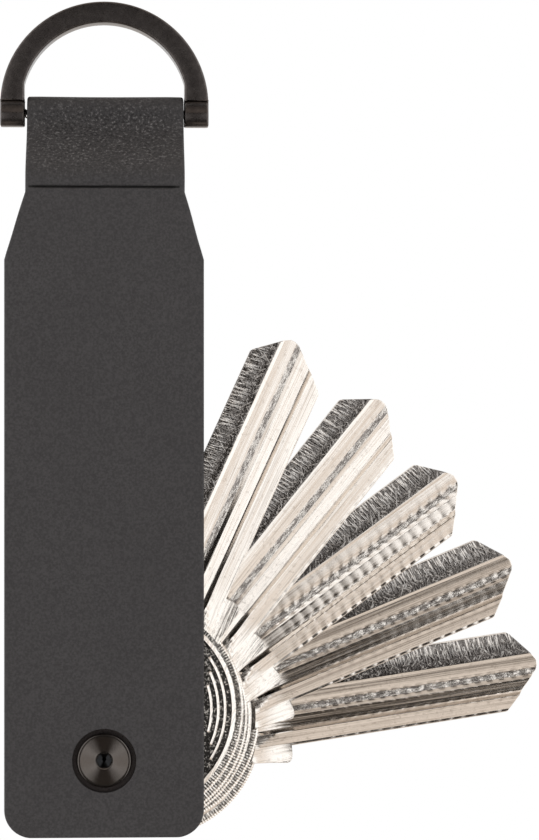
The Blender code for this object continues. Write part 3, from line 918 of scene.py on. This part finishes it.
def flat_ring_profile(inner, outer, bottom, top, edge):
    """Closed profile of a flat ring with rounded edges."""
    points = []
    for cx, cz, start in ((outer - edge, top - edge, 90), (outer - edge, bottom + edge, 0),
                          (inner + edge, bottom + edge, -90), (inner + edge, top - edge, -180)):
        for k in range(5):
            a = math.radians(start - 22.5 * k)
            points.append((cx + edge * math.cos(a), cz + edge * math.sin(a)))
    return closed(points)


def make_small_rings(mats):
    for side, label in ((-1, "front"), (1, "back")):
        for kind, body_mat, slot, edge in (("seat", "black", "black_metal", 0.06),
                                           ("washer", "nylon", "nylon", 0.10)):
            low, high = corners(f"{kind}_{label}")
            near = min(abs(low.y), abs(high.y))
            far = max(abs(low.y), abs(high.y))
            profile = flat_ring_profile(RING_CLEAR_R, high.x, near, far, edge)
            mesh = turned_mesh(kind, profile, 96)
            if kind == "seat":
                set_point_attribute(mesh, "edge_wear", np.zeros(len(mesh.vertices)))
            mesh.transform(about_post(side))
            add_piece(f"{kind}_{label}_ring", mesh, "case", [mats[body_mat]],
                      [f"{kind}_{label}"])


def lining_mesh(near, far):
    """Suede sheet inside a panel, its edge set back from the leather's."""
    inset = 1.0
    low = STRAP_LOW.z
    corner = CORNER_R - inset
    top = SHOULDER_TOP
    z = np.concatenate([low + inset + corner * (1 - np.cos(np.linspace(0, math.pi / 2, 12))),
                        np.linspace(low + inset + corner, top, 60)[1:]])
    up = np.clip(z - low - inset, 0.0, corner)
    rounded = corner - np.sqrt(np.maximum(corner ** 2 - (corner - up) ** 2, 0.0))
    shoulder = np.clip((z - SHOULDER_BOTTOM) / (SHOULDER_TOP - SHOULDER_BOTTOM), 0.0, 1.0)
    half = STRAP_HALF - inset - rounded - (STRAP_HALF - LOOP_HALF) * shoulder
    across = np.array([-1, -0.995, -0.98, -0.9, -0.6, -0.3, 0, 0.3, 0.6, 0.9, 0.98, 0.995, 1])
    x = half[:, None] * across[None, :]
    zz = np.repeat(z[:, None], len(across), axis=1)
    from_edge = half[:, None] - np.abs(x)
    soft = 0.14 * (1 - smooth01(from_edge / 0.2))
    sheets = [np.stack([x, near + soft, zz], -1), np.stack([x, far - soft, zz], -1)]
    cols, rows = len(across), len(z)
    sheet = grid_faces(rows, cols)
    faces = [list(f) for f in sheet] + [list(f) for f in sheet + rows * cols]
    border = [(i, i + cols) for i in range(0, (rows - 1) * cols, cols)]
    border += [(i + cols - 1, i + 2 * cols - 1) for i in range(0, (rows - 1) * cols, cols)]
    border += [(j, j + 1) for j in range(cols - 1)]
    border += [((rows - 1) * cols + j, (rows - 1) * cols + j + 1) for j in range(cols - 1)]
    faces += [[a, b, b + rows * cols, a + rows * cols] for a, b in border]
    return mesh_from("lining", np.concatenate([s.reshape(-1, 3) for s in sheets]), faces)


def make_linings(mats):
    for label in ("front", "back"):
        low, high = corners(f"lining_{label}")
        hole = turned_mesh("hole", [(0, 12), (LINING_HOLE_R, 12), (LINING_HOLE_R, -12),
                                    (0, -12)], 64)
        hole.transform(about_post(1))
        mesh = bool_mesh(lining_mesh(low.y, high.y), [hole])
        add_piece(f"suede_{label}", mesh, "case", [mats["suede"]],
                  [f"lining_{label}"], angle=60.0)


# ---------------------------------------------------------------- keys

KEY_HALF = 1.0                 # half of the key's thickness
BLADE_HALF = 4.4
KEY_LENGTH = 49.1
SHOULDER_U = 20.5
BOW_R = 12.15
BOW_CENTRE = 5.4
BLADE_MID = 0.4                # the blade's centre line above the hole's centre
HOLE_R = 3.6
# For each key, front to back: angle above +X, slip along and across its loose hole, and how
# strongly the milling cutter chattered
KEYS = [
    (65.6, 0.62, -0.99, 0.0),
    (51.1, 0.17, -0.45, 0.12),
    (36.5, 0.09, 0.32, 1.0),
    (22.3, 0.65, 1.11, 0.7),
    (8.7, 0.18, 1.08, 0.7),
]
# Milled section of each face as (distance from the spine edge, depth) pairs
FRONT_SECTION = [
    (0.0, 0.0), (2.58, 0.0), (2.66, 0.03), (2.95, 0.22), (3.68, 0.46), (4.05, 0.63),
    (4.32, 0.755), (4.50, 0.79), (4.85, 0.79), (5.02, 0.76), (5.42, 0.57), (5.47, 0.57),
    (6.15, 0.735), (6.60, 0.81), (6.66, 0.80), (6.80, 0.68), (7.08, 0.20), (7.15, 0.19),
    (7.42, 0.33), (8.05, 0.60), (8.48, 0.82), (8.80, 0.86), (9.40, 0.90), (10.8, 0.90),
]
BACK_SECTION = [
    (0.0, 0.20), (0.95, 0.22), (1.20, 0.40), (1.60, 0.46), (2.30, 0.46), (2.70, 0.36),
    (2.95, 0.02), (3.02, 0.0), (4.70, 0.0), (4.80, 0.02), (5.30, 0.28), (5.70, 0.38),
    (6.10, 0.30), (6.50, 0.03), (6.58, 0.0), (8.80, 0.0), (10.8, 0.0),
]
RUN_OUT_U = 21.6               # the grooves rise out of the blade from here towards the bow
CUTTER_R = 17.0


def blade_top(u):
    return np.interp(u, [KEY_LENGTH - 2.9, KEY_LENGTH - 2.6, KEY_LENGTH - 0.55,
                         KEY_LENGTH - 0.15, KEY_LENGTH],
                     [BLADE_HALF, BLADE_HALF - 0.2, 1.75, 1.15, 0.80])


def blade_bottom(u):
    neck = np.interp(u, [16.0, SHOULDER_U - 0.7, SHOULDER_U - 0.4, SHOULDER_U - 0.15,
                         SHOULDER_U - 0.02, SHOULDER_U + 0.02],
                     [-5.6, -6.25, -6.17, -5.9, -5.4, -BLADE_HALF])
    tip = np.interp(u, [KEY_LENGTH - 4.05, KEY_LENGTH - 3.75, KEY_LENGTH - 0.2, KEY_LENGTH],
                    [-BLADE_HALF, -4.1, -0.25, 0.3])
    return np.where(u < SHOULDER_U + 0.02, neck, tip)


def section_depth(section, u, s):
    """Depth of the milled section, less what the cutter has risen at its run-out."""
    depth = np.interp(s, [p[0] for p in section], [p[1] for p in section])
    rise = np.maximum(RUN_OUT_U - u, 0.0) ** 2 / (2 * CUTTER_R)
    return np.maximum(depth - rise, 0.012)


def blade_mesh():
    """Neck, stop shoulder and blade: one grid for each face, its columns on the facet lines."""
    neck = np.linspace(18.0, SHOULDER_U - 0.7, 9)
    hook = np.array([SHOULDER_U - d for d in (0.6, 0.4, 0.25, 0.15, 0.08, 0.02)])
    body = np.arange(SHOULDER_U + 0.02, KEY_LENGTH - 4.1, 0.17)
    tip = np.concatenate([np.arange(KEY_LENGTH - 4.0, KEY_LENGTH - 0.3, 0.14),
                          KEY_LENGTH - np.array([0.25, 0.18, 0.12, 0.06, 0.0])])
    nominal = np.concatenate([[16.0, 16.4, 16.8, 17.2, 17.6], neck, hook, body, tip])
    marks = sorted({s for s, _ in FRONT_SECTION + BACK_SECTION} | {0.4, 1.9, 3.3, 3.9, 5.8,
                   7.75, 9.1, 10.0, 10.4})
    edge = 0.10
    rim = np.array([0.0, 0.02, 0.05, edge])
    rows = []
    for u in nominal:
        top, bottom = float(blade_top(u)), float(blade_bottom(u))
        inside = np.clip(BLADE_HALF - np.array(marks), bottom + edge, top - edge)
        rows.append(np.concatenate([top - rim, inside, (bottom + rim)[::-1]]))
    v = np.array(rows)
    u = np.repeat(nominal[:, None], v.shape[1], axis=1)
    start = BOW_CENTRE + np.sqrt((BOW_R - 0.45) ** 2 - np.minimum(np.abs(v), 7.0) ** 2)
    share = np.clip((nominal - 16.0) / 2.0, 0.0, 1.0)[:, None]
    u = np.where(share < 1.0, start + (18.0 - start) * share, u)
    to_edge = np.minimum(v[:, :1] - v, v - v[:, -1:])
    to_edge = np.minimum(to_edge, np.maximum(KEY_LENGTH - u, 0.0) + 0.0 * v)
    off = np.clip(edge - to_edge, 0.0, edge)
    rounding = 0.10 * (1 - np.sqrt(np.maximum(1 - (off / edge) ** 2, 0.0)))
    s = BLADE_HALF - v
    z = v + BLADE_MID
    front = -(KEY_HALF - section_depth(FRONT_SECTION, u, s) - rounding)
    back = KEY_HALF - section_depth(BACK_SECTION, u, s) - rounding
    count, cols = v.shape
    sheet = grid_faces(count, cols)
    verts = np.concatenate([np.stack([u, front, z], -1).reshape(-1, 3),
                            np.stack([u, back, z], -1).reshape(-1, 3)])
    offset = count * cols
    mid_s = s[:-1, :-1] * 0.5 + s[:-1, 1:] * 0.5
    mid_u = u[:-1, :-1]
    front_mat = np.where(mid_s < 2.62, 1, 0)
    rough_floor = (mid_s > 4.33) & (mid_s < 5.03) & (mid_u > 19.0) | (mid_s > 10.2)
    front_mat = np.where(rough_floor, 2, front_mat)
    back_mat = np.where((mid_s > 3.0) & (mid_s < 4.75) | (mid_s > 6.55), 1, 0)
    back_mat = np.where((mid_s > 1.3) & (mid_s < 2.6), 2, back_mat)
    faces = [list(f) for f in sheet] + [list(f) for f in sheet + offset]
    mats = list(front_mat.reshape(-1)) + list(back_mat.reshape(-1))
    border = [(i * cols, (i + 1) * cols) for i in range(count - 1)]
    border += [(i * cols + cols - 1, (i + 2) * cols - 1) for i in range(count - 1)]
    border += [(j, j + 1) for j in range(cols - 1)]
    border += [((count - 1) * cols + j, (count - 1) * cols + j + 1) for j in range(cols - 1)]
    faces += [[a, b, b + offset, a + offset] for a, b in border]
    mats += [2] * len(border)
    return mesh_from("blade", verts, faces, mats)


# Plain arcs in the bow's pocket: radius, and the angles between which each is raised
BOW_ARCS = [(10.05, 32.0, 98.0), (9.30, 40.0, 90.0), (8.55, 48.0, 82.0)]


def bow_mesh():
    """Round bow: ribbed edge, raised rim, blasted pocket with plain raised arcs in it."""
    steps = 480
    pocket = 0.25
    arc_rows = []
    for radius, _, _ in reversed(BOW_ARCS):
        arc_rows += [radius - 0.16, radius - 0.08, radius + 0.20]
    inner = [(0.0, pocket), (5.0, pocket), (8.0, pocket)]
    rows = inner + [(r, pocket) for r in arc_rows]
    rim = [(10.70, pocket), (10.77, 0.04), (10.84, 0.0), (10.90, 0.01), (11.24, 0.20),
           (11.30, 0.22), (11.80, 0.22), (11.88, 0.24), (12.08, 0.36), (BOW_R, 0.45)]
    front = rows + rim
    back = inner[:2] + rim
    r = np.array([p[0] for p in front] + [BOW_R, BOW_R] + [p[0] for p in back[::-1]])
    y = np.array([-(KEY_HALF - p[1]) for p in front] + [-0.4, 0.4]
                 + [KEY_HALF - p[1] for p in back[::-1]])
    angle = np.arange(steps) * 2 * math.pi / steps
    rr = np.repeat(r[:, None], steps, axis=1)
    yy = np.repeat(y[:, None], steps, axis=1)
    rib = np.where(np.arange(steps) % 2 == 0, 0.0, 1.0)[None, :]
    rr = rr - 0.06 * rib * (r[:, None] > 12.05)
    yy = yy - 0.035 * rib * np.sign(yy) * (r[:, None] > 11.27) * (np.abs(yy) > 0.41)
    turn = np.degrees(np.minimum(angle, 2 * math.pi - angle))[None, :]
    for radius, low, high in BOW_ARCS:
        near = np.where(np.abs(rr - radius + 0.08) < 0.03, 1.0, 0.0)
        along = smooth01((turn - low) / 1.6 + 0.5) * smooth01((high - turn) / 1.6 + 0.5)
        raised = 0.19 * near * along
        yy = yy - raised * (yy < -0.5)
    verts = np.stack([BOW_CENTRE + rr * np.cos(angle), yy, BLADE_MID + rr * np.sin(angle)], -1)
    faces = grid_faces(len(r), steps, wrap=True)
    row_mat = np.full(len(r) - 1, 4)
    row_mat[:len(rows)] = 3
    row_mat[-2:] = 3
    middle = (r[:-1] + r[1:]) / 2
    polished = (middle > 10.72) & (middle < 11.27) | (middle > 11.84) & (middle < 12.12)
    row_mat[polished] = 0
    mats = np.repeat(row_mat, steps)
    high = -KEY_HALF + 0.15
    raised = (yy[:-1] < high) | (yy[1:] < high) | (np.roll(yy[:-1], -1, 1) < high)
    mats = np.where((mats == 3) & raised.reshape(-1), 0, mats)
    return mesh_from("bow", verts.reshape(-1, 3), faces, mats)


def key_mesh():
    """One key: bow, blade and the boss round its hole joined into one solid, and the hole."""
    boss = turned_mesh("boss", flat_ring_profile(HOLE_R - 0.3, 4.7, -KEY_HALF + 0.02,
                                                 KEY_HALF - 0.02, 0.08), 96)
    boss.transform(Matrix.Rotation(math.radians(90), 4, "X"))
    joined = bool_mesh(bow_mesh(), [blade_mesh(), boss], "UNION")
    hole = turned_mesh("hole", [(0, 3), (HOLE_R, 3), (HOLE_R, -3), (0, -3)], 96)
    hole.transform(Matrix.Rotation(math.radians(90), 4, "X"))
    return bool_mesh(joined, [hole])


def chatter(mesh, strength, seed):
    """Scallops that a chattering cutter leaves along the milled facets, and some waviness."""
    count = len(mesh.vertices)
    co = np.empty(count * 3)
    mesh.vertices.foreach_get("co", co)
    co = co.reshape(-1, 3) / MM
    u, y, z = co.T
    s = BLADE_HALF - (z - BLADE_MID)
    period = 1.35
    wave = 0.003 * np.sin(0.9 * u + 1.7 * seed) + 0.002 * np.sin(2.3 * u + seed)
    shift = np.interp(s, [2.6, 4.0, 4.4, 5.0, 5.5, 6.5, 6.7, 7.1, 7.4, 8.8],
                      [0.1, 0.1, 0.55, 0.55, 0.0, 0.0, 0.5, 0.5, 0.0, 0.5])
    rows = [2.6, 3.7, 4.1, 4.4, 5.0, 5.5, 6.2, 6.6, 6.75, 7.1, 7.4, 8.1, 8.5, 8.8]
    sizes = [0.0, 0.006, 0.030, 0.080, 0.070, 0.009, 0.010, 0.020, 0.065, 0.065, 0.014, 0.016,
             0.060, 0.060]
    depth = np.interp(s, rows, sizes)
    cell = np.abs(np.sin(math.pi * (u / period + shift + 0.13 * seed)))
    scallop = depth * (0.64 - cell) * strength
    near = smooth01((u - 22.0) / 4.0)
    on_face = (np.abs(y) > 0.10) & (u > SHOULDER_U + 0.1)
    change = np.where(on_face & (s > 2.63), (scallop * near + wave) * np.sign(y), 0.0)
    y = y - change
    co = np.stack([u, y, z], axis=-1) * MM
    mesh.vertices.foreach_set("co", co.reshape(-1))
    layer = mesh.attributes.new("grain_shift", "FLOAT_VECTOR", "POINT")
    layer.data.foreach_set("vector", np.tile([7.3 * seed, 0.0, 3.1 * seed], count))
    mesh.update()


def make_keys(mats):
    base = key_mesh()
    for i, (angle, along, across, strength) in enumerate(KEYS):
        mesh = base.copy()
        chatter(mesh, strength, i + 1)
        y = JOINTS[f"key_{i + 1}_turn"]["pos_m"][1]
        matrix = (Matrix.Translation((0, y, POST_Z * MM))
                  @ Matrix.Rotation(math.radians(-angle), 4, "Y")
                  @ Matrix.Translation((along * MM, 0, across * MM)))
        add_piece(f"key_{i + 1}_blank", mesh, f"key_{i + 1}",
                  [mats[m] for m in ("facet", "flat", "floor", "blasted", "reeded")],
                  [f"key_{i + 1}"], angle=14.0, matrix=matrix)


for spare in ("Cube", "Light", "Camera"):
    if spare in bpy.data.objects:
        bpy.data.objects.remove(bpy.data.objects[spare], do_unlink=True)
bpy.context.scene.view_settings.view_transform = "Standard"
make_camera()
make_world()
make_floor()
MATERIALS = make_materials()
make_strap(MATERIALS)
make_ring(MATERIALS)
make_pin(MATERIALS)
make_screw(MATERIALS)
make_barrel(MATERIALS)
make_small_rings(MATERIALS)
make_linings(MATERIALS)
make_keys(MATERIALS)
